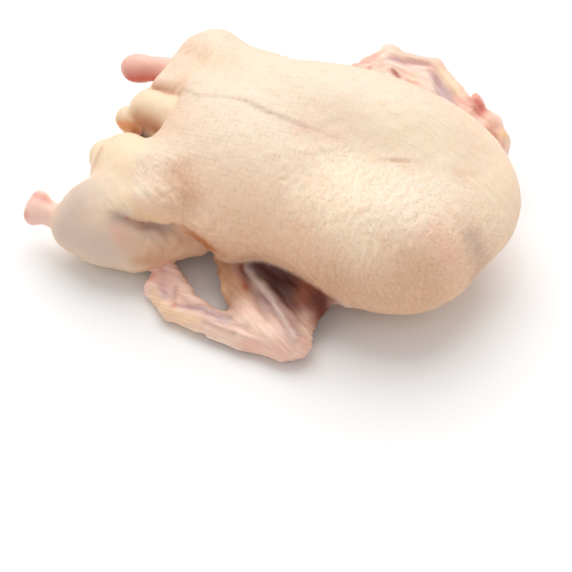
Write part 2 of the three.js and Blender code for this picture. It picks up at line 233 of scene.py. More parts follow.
def along_stretch(points, a, b):
    """How far along the stretch from a to b each point lies, from 0 to 1, and its distance from it."""
    a = np.asarray(a, points.dtype)
    along = np.asarray(b, points.dtype) - a
    offset = points - a
    share = np.clip(offset @ along / (along @ along), 0, 1)
    offset -= share[:, None] * along
    return share, np.sqrt((offset * offset).sum(1))


def limb(points, a, b, radius_a, radius_b):
    """A straight stretch of limb, whose radius changes evenly along it."""
    share, gap = along_stretch(points, a, b)
    return gap - (radius_a + (radius_b - radius_a) * share)


def flap(points, a, b, c, radius):
    """A flap of skin stretched between three places, as thick as twice its radius."""
    a, b, c = (np.asarray(place, points.dtype) for place in (a, b, c))
    normal = np.cross(b - a, c - a)
    normal /= np.linalg.norm(normal)
    height = (points - a) @ normal
    over = np.ones(len(points), bool)
    for start, end in ((a, b), (b, c), (c, a)):
        over &= (points - start) @ np.cross(normal, end - start) >= 0
    edge = np.minimum.reduce([along_stretch(points, *side)[1] for side in ((a, b), (b, c), (c, a))])
    return np.where(over, np.abs(height), edge) - radius


def blend(softness, *distances):
    """Lumps that grow together. Flesh fills the valley as far as the softness from where they meet."""
    total = distances[0]
    for distance in distances[1:]:
        overlap = np.maximum(softness - np.abs(total - distance), 0)
        total = np.minimum(total, distance) - overlap * overlap / (4 * softness)
    return total


def carve(softness, distance, hole):
    """A lump with a hole cut in it. The softness rounds the edge."""
    return -blend(softness, -distance, hole)


def beyond(points, at, facing):
    """Everything beyond a flat cut."""
    return (np.asarray(at, points.dtype) - points) @ np.asarray(facing, points.dtype)


def chain(points, joints, radii, softness):
    """A chain of limb stretches through a list of joints."""
    return blend(softness, *(limb(points, joints[n], joints[n + 1], radii[n], radii[n + 1])
                             for n in range(len(joints) - 1)))


def to_carcass(points):
    """The points seen from the carcass's own axes, which lean and swing."""
    swing, lean = math.radians(CARCASS_SWING), math.radians(CARCASS_LEAN)
    offset = points - np.asarray(CARCASS_MIDDLE, points.dtype)
    forward = offset[:, 0] * math.cos(swing) + offset[:, 1] * math.sin(swing)
    sideways = offset[:, 1] * math.cos(swing) - offset[:, 0] * math.sin(swing)
    return np.stack([forward, sideways * math.cos(lean) + offset[:, 2] * math.sin(lean),
                     offset[:, 2] * math.cos(lean) - sideways * math.sin(lean)], 1)


# ---- The bird's parts ----

def carcass(points):
    inner = to_carcass(points)
    trunk = blend(TRUNK_MEAT, ovoid(inner, **CHEST), ovoid(inner, **BELLY))
    breasted = blend(BREAST_MEAT, trunk, ovoid(inner, **NEAR_BREAST), ovoid(inner, **FAR_BREAST))
    return carve(CREASE, blend(FLESH, breasted, ovoid(inner, **BACK)), beyond(points, **BELLY_END))


def near_drumstick(points):
    return chain(points, (NEAR_KNEE, NEAR_CALF, NEAR_SHIN, NEAR_ANKLE), NEAR_LEG_RADII, HAUNCH_MEAT)


def near_leg(points, trunk):
    thigh = blend(THIGH_MEAT, ovoid(points, **NEAR_THIGH), ovoid(points, **NEAR_FLANK))
    lip = chain(points, FLANK_LIP, FLANK_LIP_RADII, TIGHT)
    flank = blend(LOOSE, blend(THIGH_MEAT, trunk, thigh), lip)
    haunch = chain(points, HAUNCH, HAUNCH_RADII, TIGHT)
    softness = np.interp(points[:, 0], LIP_FADE, LIP_SOFTNESS).astype(points.dtype)
    return blend(softness, blend(HAUNCH_MEAT, flank, haunch), near_drumstick(points))


def near_hock(points):
    shank = limb(points, NEAR_ANKLE, NEAR_HOCK, SHANK_RADIUS, SHANK_RADIUS)
    knuckles = limb(points, *NEAR_KNUCKLES, KNUCKLE_RADIUS, KNUCKLE_RADIUS)
    return blend(TIGHT, shank, knuckles)


def far_leg(points):
    drumstick = chain(points, (FAR_KNEE, FAR_CALF, FAR_ANKLE), FAR_LEG_RADII, THIGH_MEAT)
    leg = blend(SOFT, drumstick, flap(points, *FAR_LEG_SKIN, THICK_FLAP), ovoid(points, **FAR_THIGH))
    return carve(CUT_EDGE, leg, beyond(points, **FAR_SKIN_END))


def far_hock(points):
    shank = limb(points, FAR_ANKLE, FAR_HOCK, SHANK_RADIUS, SHANK_RADIUS)
    return blend(KNUCKLE, shank, ovoid(points, **FAR_KNUCKLE))


def upper_fold(points):
    return blend(FOLD, limb(points, *UPPER_FOLD, *UPPER_FOLD_RADII), ovoid(points, **FOLD_TIP))


def near_fold(points):
    return ovoid(points, **NEAR_FOLD)


def tail(points):
    rump = chain(points, TAIL, TAIL_RADII, TIGHT)
    skirt = chain(points, TAIL_SKIRT, TAIL_SKIRT_RADII, TIGHT)
    return blend(TIGHT, rump, skirt)


def near_forearm(points):
    ulna = chain(points, NEAR_ULNA, NEAR_ULNA_RADII, FOLD)
    radius = chain(points, NEAR_RADIUS, NEAR_RADIUS_RADII, FOLD)
    skins = [flap(points, *corners, THICK_FLAP) for corners in NEAR_FOREARM_SKIN]
    return blend(WEB, blend(FOLD, ulna, radius), *skins)


def near_hand(points):
    outer = chain(points, NEAR_HAND, NEAR_HAND_RADII, FOLD)
    inner = chain(points, NEAR_INNER_HAND, NEAR_INNER_HAND_RADII, FOLD)
    quill_bed = limb(points, *NEAR_QUILL_BED, *NEAR_QUILL_BED_RADII)
    skins = [flap(points, *corners, MIDDLING_FLAP) for corners in NEAR_HAND_SKIN]
    return blend(CREASE, outer, inner, quill_bed, *skins)


def near_wing(points):
    upper_arm = limb(points, NEAR_SHOULDER, NEAR_ELBOW, *NEAR_UPPER_ARM_RADII)
    elbow_skin, _, breast_skin = NEAR_STRETCHED_SKIN
    stretched_skin = flap(points, *NEAR_STRETCHED_SKIN, MIDDLING_FLAP)
    shoulder_skin = flap(points, elbow_skin, breast_skin, NEAR_SHOULDER, MIDDLING_FLAP)
    arm = blend(TIGHT, near_forearm(points), near_hand(points))
    return blend(WEB, arm, stretched_skin, shoulder_skin, upper_arm)


def far_wing(points):
    elbow, bend, wrist = FAR_WING_EDGE[1], FAR_WING_EDGE[3], FAR_WING_EDGE[5]
    upper_arm = limb(points, FAR_SHOULDER, elbow, *FAR_UPPER_ARM_RADII)
    edge = chain(points, FAR_WING_EDGE, FAR_WING_EDGE_RADII, FOLD)
    hand = chain(points, FAR_HAND, FAR_HAND_RADII, TIGHT)
    thumb = limb(points, *FAR_THUMB, *FAR_THUMB_RADII)
    skins = [flap(points, *corners, THIN_FLAP) for corners in (
        (FAR_ARMPIT, FAR_ELBOW_SKIN, elbow),
        (FAR_ARMPIT, elbow, FAR_WING_ROOT),
        (elbow, bend, FAR_WING_ROOT),
        (bend, wrist, FAR_WING_ROOT),
        (wrist, FAR_HAND_ROOT, FAR_WING_ROOT),
        (wrist, FAR_HAND[1], FAR_HAND_ROOT))]
    return blend(FOLD, blend(KNUCKLE, upper_arm, *skins), edge, hand, thumb)


def covered(points):
    """The bird without its wings and hocks: what whole, pale skin covers."""
    trunk_and_legs = blend(FLESH, near_leg(points, carcass(points)), far_leg(points))
    haunches = blend(CREASE, blend(SOFT, trunk_and_legs, near_fold(points)), ovoid(points, **VENT_CORE))
    folds = blend(CREASE, blend(TIGHT, haunches, tail(points)), upper_fold(points))
    return carve(CUT_EDGE, folds, chain(points, VENT_SLIT, VENT_SLIT_RADII, CREASE))


def whole_bird(points):
    """The bird above the table that it lies on."""
    body = blend(CREASE, covered(points), near_hock(points), far_hock(points))
    bird = blend(FOLD, body, near_wing(points), far_wing(points))
    return np.maximum(bird, -points[:, 2])


# ---- The net ----

def sample(distance, low, size, counts):
    """Distances on a grid of cubes: rough everywhere, and exact near the skin."""
    low = np.asarray(low, np.float32)
    rough_counts = [-(-count // COARSE_STRIDE) + 1 for count in counts]
    rough_places = np.stack(np.meshgrid(*(np.arange(count, dtype=np.float32) for count in rough_counts),
                                        indexing="ij"), -1).reshape(-1, 3)
    rough = distance(low + rough_places * (size * COARSE_STRIDE)).reshape(rough_counts)
    nearest = np.ix_(*((np.arange(count) + COARSE_STRIDE // 2) // COARSE_STRIDE for count in counts))
    values = rough[nearest].astype(np.float32)
    cells = np.argwhere(np.abs(values) < size * COARSE_STRIDE * NEAR_SKIN)
    for block in np.array_split(cells, max(1, len(cells) // BLOCK_SIZE)):
        values[tuple(block.T)] = distance(low + block.astype(np.float32) * size)
    return values


def lay_net(distance, low, high, size):
    """Corners and four-sided faces of the surface where the distance is zero."""
    counts = [int((top - bottom) / size) + 2 for bottom, top in zip(low, high)]
    values = sample(distance, low, size, counts)
    inside = values < 0
    filled = np.zeros([count - 1 for count in counts], np.uint8)
    for corner in product((0, 1), repeat=3):
        filled += inside[tuple(slice(d, count - 1 + d) for d, count in zip(corner, counts))]
    cells = np.argwhere((filled > 0) & (filled < 8))
    number = np.full(filled.shape, -1, np.int32)
    number[tuple(cells.T)] = np.arange(len(cells))

    steps = np.eye(3, dtype=int)
    total = np.zeros((len(cells), 3))
    crossings = np.zeros(len(cells))
    for axis in range(3):
        for side in product((0, 1), repeat=2):
            start = cells + side[0] * steps[(axis + 1) % 3] + side[1] * steps[(axis + 2) % 3]
            here, ahead = values[tuple(start.T)], values[tuple((start + steps[axis]).T)]
            crosses = (here < 0) != (ahead < 0)
            share = np.where(crosses, here / np.where(crosses, here - ahead, 1), 0)
            total += crosses[:, None] * (start + share[:, None] * steps[axis])
            crossings += crosses
    corners = np.asarray(low) + size * total / crossings[:, None]

    faces = []
    for axis in range(3):
        one, two = steps[(axis + 1) % 3], steps[(axis + 2) % 3]
        edges = np.argwhere(np.diff(inside, axis=axis))
        ring = np.stack([number[tuple((edges - m * one - n * two).T)]
                         for m, n in ((0, 0), (1, 0), (1, 1), (0, 1))], 1)
        leaving = inside[tuple(edges.T)]
        ring[~leaving] = ring[~leaving][:, ::-1]
        faces.append(ring)
    return corners, np.concatenate(faces)


def slope_at(distance, points):
    """The slope of the distance at each point, which is the skin's normal when its length is 1."""
    slopes = []
    for axis in range(3):
        step = np.zeros(3)
        step[axis] = SLOPE_STEP
        slopes.append((distance(points + step) - distance(points - step)) / (2 * SLOPE_STEP))
    return np.stack(slopes, 1)


def settle(distance, points, furthest):
    """Slides points along the slope until they lie on the skin, but no further than a limit."""
    settled = points.copy()
    for _ in range(SETTLING_STEPS):
        slope = slope_at(distance, settled)
        steepness = np.maximum((slope * slope).sum(1), LEAST_STEEPNESS)
        settled -= (distance(settled) / steepness)[:, None] * slope
    move = settled - points
    length = np.linalg.norm(move, axis=1, keepdims=True)
    return points + move * np.minimum(1, furthest / np.maximum(length, TINY))


def unit(vectors):
    return vectors / np.maximum(np.linalg.norm(vectors, axis=1, keepdims=True), TINY)


# ---- Lines and spots on the skin ----

WAVE_COUNT = 14
WAVE_RANGE = (0.75, 1.35)


def waves(points, strength, wavelength, seed):
    """Smooth, even lumpiness about zero, from waves that run every way."""
    rng = np.random.default_rng(seed)
    total = np.zeros(len(points))
    for direction in unit(rng.normal(size=(WAVE_COUNT, 3))):
        rate = 2 * math.pi / (wavelength * rng.uniform(*WAVE_RANGE))
        total += np.sin(points @ direction * rate + rng.uniform(0, 2 * math.pi))
    return strength * total / math.sqrt(WAVE_COUNT / 2)


def near_line(points, line):
    """Distance from a line of places, and how far along the line the nearest point is, from 0 to 1."""
    if len(line) == 1:
        return np.linalg.norm(points - np.asarray(line[0]), axis=1), np.zeros(len(points))
    best = np.full(len(points), np.inf)
    along = np.zeros(len(points))
    for n in range(len(line) - 1):
        share, gap = along_stretch(points, line[n], line[n + 1])
        closer = gap < best
        best[closer] = gap[closer]
        along[closer] = (n + share[closer]) / (len(line) - 1)
    return best, along


def near_line_from_above(points, line):
    """The same as near_line, where only X and Y count."""
    return near_line(points * (1, 1, 0), [(*place[:2], 0) for place in line])


def beside_line(points, line):
    """Distance from a line seen from above, positive on the far side."""
    gap, _ = near_line_from_above(points, line)
    middle = np.interp(points[:, 0], [x for x, _, _ in line], [y for _, y, _ in line])
    return gap * np.sign(points[:, 1] - middle)


def above_line(points, line):
    """Height above a line that runs along X."""
    return points[:, 2] - np.interp(points[:, 0], [x for x, _, _ in line], [z for _, _, z in line])


def bell(distance, width):
    """1 at no distance, about a third at the width, and next to nothing at twice the width."""
    return np.exp(-(distance / width) ** 2)


def near(points, line, width):
    """1 on a line of places, fading to 0 over about so many millimetres to each side."""
    return bell(near_line(points, line)[0], width)


def within(values, low, high, fade):
    """1 between low and high, fading to 0 outside them."""
    return np.clip((values - low) / fade + 1, 0, 1) * np.clip((high - values) / fade + 1, 0, 1)


def girth_place(points):
    """Where each point lies on the unrolled skin: along the body, and round it from the keel."""
    inner = to_carcass(points)
    return inner[:, 0], np.arctan2(inner[:, 1], inner[:, 2] + GIRTH_DROP) * GIRTH_RADIUS


def on_patch(points, patch):
    """1 on a patch of the unrolled skin, fading to 0 outside it."""
    along, round_body = girth_place(points)
    return within(along, *patch[0]) * within(round_body, *patch[1])


def folded_wing_fibres(points, run):
    """Along and across fibres of the folded wing that run straight."""
    across = (-run[1], run[0], FIBRE_SLANT)
    return points @ np.array(run), points @ np.array(across)


def far_wing_fibres(points):
    """Along the far wing's edge and hand, and away from them."""
    gap, along = near_line_from_above(points, FAR_WING_EDGE + FAR_HAND)
    length = sum(math.dist(a, b) for a, b in zip(FAR_WING_EDGE, FAR_WING_EDGE[1:]))
    return along * FAR_WING_SPREAD * length, gap


def flank_fibres(points):
    """Along the wrinkles of the flank, and away from them."""
    run = unit(np.subtract(WRINKLE_RUN[3], WRINKLE_RUN[0])[None])[0]
    offset = points - np.array(WRINKLE_RUN[1])
    forward = offset @ run
    return forward, np.linalg.norm(offset - forward[:, None] * run, axis=1)


def fibre_place(points):
    """Where each point lies along and across the fibres of the part that it belongs to."""
    forearm = np.minimum(near_forearm(points), near_wing(points) + HAND_FIRST)
    parts = np.stack([near_hand(points), forearm, far_wing(points), covered(points)])
    places = np.array([folded_wing_fibres(points, HAND_RUN), folded_wing_fibres(points, FOREARM_RUN),
                       far_wing_fibres(points), flank_fibres(points)])
    return places[parts.argmin(0), :, np.arange(len(points))].T


# ---- Relief: creases and wrinkles, as heights in millimetres above the plain skin ----

# How strong a fold is by the share of its line, and how its sides and its groove are shaped.
SEAM_STRENGTH = ((0, 0.6, 0.85, 1), (1.0, 0.9, 0.3, 0))
LIP_STRENGTH = ((0, 0.2, 0.8, 1), (0.3, 1.0, 1.0, 0.7))
BLUNT_END = 0.04
SWELLING = 0.4
SWELLING_WIDTH = 3
RISE_WIDTH = 12
DROP_WIDTH = 7
GROOVE_WIDTH = 2.6
GROOVE_SHIFT = 0.6

# Patches of the unrolled skin, along the body and round it: from, to, and how far each end fades.
RIDGED = ((-10, 100, 30), (-100, -25, 30))
RIPPLED = ((-110, 60, 30), (-150, -105, 20))
RIDGE_HEIGHT = 0.26
RIDGE_GAP = 10
RIDGE_SLANT = 0.25
FOLD_STRETCH = (0.18, 0.3)


def crease(points, line, width, depth):
    """A narrow groove with a low swelling on either side."""
    gap, along = near_line(points, line)
    ends = np.sin(math.pi * np.clip(along, BLUNT_END, 1 - BLUNT_END)) ** 0.5
    return depth * ends * (SWELLING * bell(gap, SWELLING_WIDTH * width) - bell(gap, width))


def fold_edge(gap, side, rise, drop, groove):
    """Skin that ends in a rounded edge over other skin, with a groove under the edge."""
    step = np.where(side > 0, rise * bell(gap, RISE_WIDTH), -drop * bell(gap, DROP_WIDTH))
    return step - groove * bell(gap + GROOVE_SHIFT * side, GROOVE_WIDTH)


def belly_seam(points):
    gap, along = near_line(points, BELLY_SEAM)
    side = beside_line(points, BELLY_SEAM)
    return np.interp(along, *SEAM_STRENGTH) * fold_edge(gap, side, rise=0.9, drop=0.3, groove=0.25)


def flank_lip_edge(points):
    gap, along = near_line(points, LIP_EDGE)
    side = gap * np.sign(above_line(points, LIP_EDGE))
    return np.interp(along, *LIP_STRENGTH) * fold_edge(gap, side, rise=1.1, drop=1.6, groove=1.6)


def flank_wrinkles(points):
    height = near(points, WRINKLE_RUN, width=22) * waves(points, strength=0.22, wavelength=5.5, seed=3)
    for step in WRINKLE_STEPS:
        height += crease(points, [np.add(place, step) for place in WRINKLE_RUN], width=1.7, depth=0.9)
    return height


def breast_ridges(points):
    """Long low ridges that run down the near side of the breast."""
    along, round_body = girth_place(points)
    wander = waves(points, strength=3, wavelength=40, seed=5)
    ridges = np.sin((along - RIDGE_SLANT * round_body + wander) * 2 * math.pi / RIDGE_GAP)
    uneven = 1 + waves(points, strength=0.7, wavelength=16, seed=6)
    lumps = waves(points, strength=0.12, wavelength=7, seed=9)
    return on_patch(points, RIDGED) * (RIDGE_HEIGHT * ridges * uneven + lumps)


def low_ripples(points):
    """Small soft ripples where the skin turns under on the near side."""
    return on_patch(points, RIPPLED) * waves(points, strength=0.35, wavelength=8.5, seed=7)


def wing_folds(points):
    """Long folds of skin that run along the wing bones."""
    along, across = fibre_place(points)
    stretched = np.stack([along * FOLD_STRETCH[0], across, FOLD_STRETCH[1] * points[:, 2]], 1)
    return waves(stretched, strength=0.45, wavelength=7, seed=8)


def relief(points):
    on_body = belongs(covered(points), np.minimum(near_wing(points), far_wing(points)), softness=4)
    height = waves(points, strength=0.15, wavelength=34, seed=1)
    height += waves(points, strength=0.12, wavelength=12, seed=2)
    height += belly_seam(points) + flank_lip_edge(points) + flank_wrinkles(points)
    height += crease(points, BREAST_DIMPLE, width=1.7, depth=0.7)
    height += crease(points, NECK_DIMPLE, width=3, depth=0.35)
    height += crease(points, TAIL_GROOVE, width=2.6, depth=0.9)
    height += on_body * (breast_ridges(points) + low_ripples(points))
    return height + (1 - on_body) * wing_folds(points)


# ---- Paint: a colour for every point of the skin, laid on in marks ----

def colour(red, green, blue):
    """A linear colour from the red, green and blue that a screen shows, each from 0 to 255."""
    screen = np.array((red, green, blue)) / 255
    return np.where(screen <= 0.04045, screen / 12.92, ((screen + 0.055) / 1.055) ** 2.4)


TOP_SKIN = colour(242, 222, 199)
# Painted shade: the darker, warmer skin of the sides, laid on as the skin turns away from facing up.
SHADED_SIDE_SKIN = colour(238, 196, 163)
FAT = colour(246, 220, 184)
YELLOW_FAT = colour(240, 202, 146)
CREAM = colour(240, 212, 186)
WING_SKIN = colour(246, 211, 191)
PINK = colour(240, 176, 160)
PALE_PINK = colour(248, 208, 192)
# Painted light: pink that lifts the wing tip out of the drumstick's shadow.
PAINTED_LIGHT_PINK = colour(254, 216, 206)
RED = colour(208, 104, 86)
DARK_RED = colour(160, 66, 56)
MAUVE = colour(190, 158, 150)
PURPLE = colour(200, 172, 174)
ROSE_WINDOW = colour(198, 152, 152)
TENDON = colour(248, 228, 214)
PURPLE_BROWN = colour(140, 100, 96)
MUSCLE = colour(164, 90, 60)
# Painted shade: brown of the forearm where the body's overhang shades it.
FOREARM_SHADE = colour(184, 132, 98)
# Painted shade: near-black brown in the wing's hollow under the body and in the vent slit.
HOLLOW_SHADE = colour(84, 38, 30)
# Brown of the folds and creases: partly their own colour, partly painted shade in them and under them.
FOLD_BROWN_AND_SHADE = colour(196, 134, 92)
GREY_SKIN = colour(214, 190, 176)
# Grey of bruises on the breast, and painted blue-grey shade under the flank lip.
BRUISE_AND_SHADE_GREY = colour(186, 162, 150)
BROWN_BRUISE = colour(184, 148, 126)
# Dark brown of the wing's muscle at the shoulder, deepened as painted shade under the breast's overhang.
DEEP_BROWN_AND_SHADE = colour(108, 46, 26)
# Painted highlights: the next two colours are lighter and lightest skin where the light falls most on
# the breast and the neck end.
HIGHLIGHT_SKIN = colour(250, 224, 196)
STRONG_HIGHLIGHT_SKIN = colour(253, 231, 203)
# Painted shade: the darker, browner underside of the near breast.
LOW_SHADE_SKIN = colour(204, 160, 130)
FOLD_SHADE = colour(192, 118, 70)
FOLD_ORANGE = colour(232, 164, 108)

# Each mark is a colour, how thick it lies, how far it spreads to each side and the places along it. The
# wings' thin skin lies flat, so its marks have places seen from above.
WING_MARKS = (
    (FOREARM_SHADE, 1.0, 17, ((-66, -78), (-46, -104))),
    (YELLOW_FAT, 0.4, 4, ((-66, -92), (-54, -108))),
    (MUSCLE, 1.0, 4.5, ((-50, -77), (-38, -98))),
    (MAUVE, 0.5, 3, ((-54, -83), (-31, -97), (-10, -127))),
    (HOLLOW_SHADE, 1.0, 14, ((-36, -74), (-26, -79), (-4, -84), (15, -86))),
    (HOLLOW_SHADE, 0.9, 9, ((4, -98), (-15, -90))),
    (MAUVE, 0.8, 6, ((-26, -97), (-4, -117), (15, -135))),
    (PURPLE_BROWN, 0.6, 9, ((-24, -100), (-11, -102), (10, -119), (18, -131))),
    (MUSCLE, 0.9, 11, ((12, -93), (28, -98), (32, -106))),
    # Muscle brown deepened as painted shade under the breast's overhang.
    (DEEP_BROWN_AND_SHADE, 1.0, 10, ((24, -94), (32, -103))),
    (CREAM, 0.8, 7, ((25, -124),)),
    (TENDON, 0.5, 2.4, ((-45, -78), (-26, -92), (-3, -114), (16, -137))),
    (PINK, 0.5, 6, ((27, -138),)),
    (PINK, 0.4, 4, ((-22, -146), (14, -147))),
    (PURPLE_BROWN, 0.4, 2, ((-62, -136), (-34, -141))),
    (PURPLE_BROWN, 0.3, 2, ((-50, -131), (-24, -135))),
    (PURPLE, 1.0, 5, ((-88, -124), (-73, -123), (-60, -126), (-45, -130))),
    (MAUVE, 0.6, 2, ((-86, -119), (-62, -120), (-42, -126))),
    (RED, 0.7, 3, ((-93, -127),)),
    (TENDON, 0.6, 7, ((-108, -107), (-102, -117))),
    (PURPLE, 1.0, 4.4, ((-111, -104), (-105, -117))),
    (PURPLE_BROWN, 0.4, 2.4, ((-100, -104), (-96, -115))),
    # Painted light on the wing tip, where the drumstick's shadow falls.
    (PAINTED_LIGHT_PINK, 1.0, 15, ((-110, -84), (-117, -98))),
    (PINK, 0.4, 5, ((-121, -88), (-124, -101))),
    (YELLOW_FAT, 0.5, 4, ((-117, -114), (-98, -133), (-70, -136))),
    (ROSE_WINDOW, 1.0, 5.5, ((12, 165), (26, 171), (42, 172))),
    (PINK, 0.8, 5, ((-19, 156), (-4, 168))),
    (CREAM, 0.6, 4, ((8, 174), (49, 175))),
    (MAUVE, 1.0, 7.5, ((54, 158), (68, 144), (80, 136))),
    (PURPLE, 0.8, 4, ((62, 146), (76, 134))),
    (ROSE_WINDOW, 0.7, 3, ((50, 161), (60, 152))),
    (TENDON, 0.6, 3, ((3, 167), (14, 159), (29, 163), (42, 167))),
    (TENDON, 0.5, 4, ((44, 160), (56, 144))),
    (PINK, 0.7, 4, ((6, 153),)),
    (DARK_RED, 0.9, 3, ((18, 151), (24, 147))),
    (RED, 0.6, 2.5, ((32, 146), (40, 144))),
    (MUSCLE, 0.6, 3, ((-5, 152),)),
    (CREAM, 0.6, 6, ((35, 150),)),
    (FAT, 0.8, 4, ((56, 168), (86, 142))),
    (PINK, 0.8, 5, ((82, 140), (94, 129))),
    (CREAM, 0.7, 3, ((94, 130), (107, 127))),
    (PINK, 0.7, 5, ((94, 153),)),
    (RED, 0.9, 8, ((97, 145), (103, 137))),
    (DARK_RED, 0.4, 4, ((98, 143), (104, 137))),
    (RED, 0.35, 8, ((118, 120), (122, 112))),
    (YELLOW_FAT, 0.9, 5, ((128, 122),)),
)
VENT_MARKS = (
    (FOLD_BROWN_AND_SHADE, 0.7, 9, ((-177, 18, 80), (-164, 12, 85), (-157, 8, 86))),
    (FOLD_SHADE, 0.6, 7, ((-176, 16, 76), (-163, 9, 78), (-154, 2, 82))),
    (CREAM, 0.6, 3.5, ((-196, 27, 72), (-189, 24, 65))),
    (YELLOW_FAT, 0.6, 6, ((-202, 28, 66),)),
    (FOLD_ORANGE, 1.0, 6, ((-196, 25, 60), (-184, 21, 63), (-177, 17, 66))),
    (MUSCLE, 0.7, 4, ((-182, 18, 62), (-174, 12, 66))),
    (HOLLOW_SHADE, 1.0, 5, ((-172, 12, 66), (-158, -4, 78))),
    (HOLLOW_SHADE, 0.7, 3, ((-188, 17, 64), (-176, 13, 68))),
    (FOLD_BROWN_AND_SHADE, 0.4, 4, TAIL_GROOVE),
    (RED, 0.5, 3, ((-189, -9, 81),)),
    (PINK, 0.35, 4, BELLY_SEAM[:3]),
    (SHADED_SIDE_SKIN, 0.4, 24, ((-148, 76, 106), (-116, 72, 118))),
    (FOLD_BROWN_AND_SHADE, 0.5, 2.8, ((-171, 47, 92), (-161, 43, 95), (-150, 38, 100))),
)
LEG_MARKS = (
    (GREY_SKIN, 0.9, 30, ((-196, -78, 69), (-198, -100, 48), (-161, -107, 41))),
    # Painted shade: blue-grey under the flank lip.
    (BRUISE_AND_SHADE_GREY, 0.8, 8, ((-154, -89, 67), (-131, -84, 61), (-116, -76, 56))),
    (GREY_SKIN, 0.4, 6, ((-139, -95, 57), (-119, -84, 52))),
    (PINK, 0.4, 7, ((-152, -96, 59), (-149, -100, 53))),
    (YELLOW_FAT, 0.4, 6, ((-136, -85, 74), (-118, -83, 70))),
    (FOLD_BROWN_AND_SHADE, 0.35, 7, ((-134, -102, 34), (-121, -96, 32))),
    (FOLD_BROWN_AND_SHADE, 0.9, 13, ((-92, -78, 50), (-73, -82, 46))),
    (FOLD_SHADE, 0.9, 7, ((-88, -79, 50), (-78, -80, 46))),
    (SHADED_SIDE_SKIN, 0.8, 5, ((-70, -77, 40), (-58, -79, 56))),
    (FOLD_BROWN_AND_SHADE, 0.3, 12, ((-140, -98, 54), (-131, -101, 39), (-108, -92, 40))),
    (FOLD_BROWN_AND_SHADE, 0.2, 16, ((-141, -47, 94), (-124, -65, 92), (-109, -58, 96))),
    (FOLD_BROWN_AND_SHADE, 0.4, 2, ((-125, -71, 90), (-117, -73, 89))),
    (FOLD_BROWN_AND_SHADE, 0.5, 15, ((-112, -52, 98), (-98, -66, 92))),
    (FOLD_SHADE, 0.6, 2.2, LIP_EDGE[1:]),
)
BREAST_MARKS = (
    (FOLD_SHADE, 0.5, 2, ((60, -9, 124), (71, -6, 123))),
    (FOLD_BROWN_AND_SHADE, 0.25, 3, ((50, -12, 124), (82, -3, 122))),
    (FOLD_BROWN_AND_SHADE, 0.3, 5, NECK_DIMPLE),
    (PINK, 0.3, 4, ((73, -14, 121),)),
    (YELLOW_FAT, 0.4, 4, ((44, -11, 125),)),
    # Painted highlights on the top of the breast and the neck end.
    (HIGHLIGHT_SKIN, 0.9, 34, ((150, -8, 92), (128, 48, 95))),
    (HIGHLIGHT_SKIN, 0.6, 26, ((0, -44, 120), (50, -44, 120))),
    (STRONG_HIGHLIGHT_SKIN, 0.9, 19, ((41, 18, 140), (76, 14, 131), (94, 13, 125))),
    (STRONG_HIGHLIGHT_SKIN, 0.7, 13, ((16, -12, 126), (30, -32, 124))),
    (STRONG_HIGHLIGHT_SKIN, 0.6, 19, ((30, -72, 112), (60, -93, 101))),
    (LOW_SHADE_SKIN, 0.5, 26, ((40, -104, 66), (112, -92, 62))),
    (PINK, 0.3, 12, ((112, -65, 109), (123, -71, 97))),
    (FOLD_BROWN_AND_SHADE, 0.25, 22, ((104, -84, 92),)),
    (BROWN_BRUISE, 0.4, 15, ((136, -44, 93), (144, -46, 76))),
    (BRUISE_AND_SHADE_GREY, 0.35, 8, ((136, -43, 94), (142, -44, 82))),
    (BROWN_BRUISE, 0.5, 9, ((152, -42, 62), (146, -54, 58))),
    (PINK, 0.25, 7, ((-22, -2, 130), (4, -3, 131), (13, -5, 129))),
    (MAUVE, 0.15, 2.4, ((-143, 34, 104), (-77, 18, 128), (-51, 8, 130), (-18, 0, 131))),
)
HOCK_MARKS = (
    (RED, 0.5, 5, ((-243, -86, 40),)),
    (RED, 0.45, 4, ((-239, -70, 51), (-226, -72, 48))),
    (PINK, 0.5, 14, ((-190, 84, 84), (-214, 84, 80))),
    (RED, 1.0, 10, ((-186, 78, 70), (-208, 76, 67))),
)

# How much the painted shade of the sides or a detail shows, by the normal's height or the place on the
# unrolled skin.
SIDE_SHADE = ((-0.2, 0.2, 0.6, 0.8, 0.97), (1, 0.9, 0.72, 0.46, 0))
DOTS_ALONG = ((-60, 20), (0.25, 1))
DOTS_ROUND = ((-20, 10), (1, 0.35))
ROWS_ALONG = ((-40, 60), (1, 0.35))
GROOVES_ALONG = ((-30, 30), (0.3, 1))
GROOVES_ROUND = ((-12, 15), (0, 1))
FAT_THICKNESS = 0.7
PORES_ON_LEG = 0.3
FLESH_ON_HOCK = 0.35
CRINKLE_STRENGTH = 0.6
LIP_START = 4


def belongs(mine, others, softness):
    """1 where a part's own distance is the least, 0 where another part's is, soft between them."""
    return np.clip(0.5 + (others - mine) / softness, 0, 1)


def lay_on(base, paint, share):
    """The base colours with a paint laid over them, as thick as the share from 0 to 1."""
    return base + np.clip(share, 0, 1)[:, None] * (paint - base)


def lay_marks(base, points, marks, share, measure=near_line):
    for paint, thickness, spread, places in marks:
        gap, _ = measure(points, places)
        base = lay_on(base, paint, thickness * share * bell(gap, spread))
    return base


def wobble(points):
    """Small sideways shifts that make the edges of a mark uneven."""
    forward, sideways = (waves(points, strength=0.4, wavelength=11, seed=seed) for seed in (11, 12))
    return np.stack([forward, sideways, np.zeros(len(points))], 1)


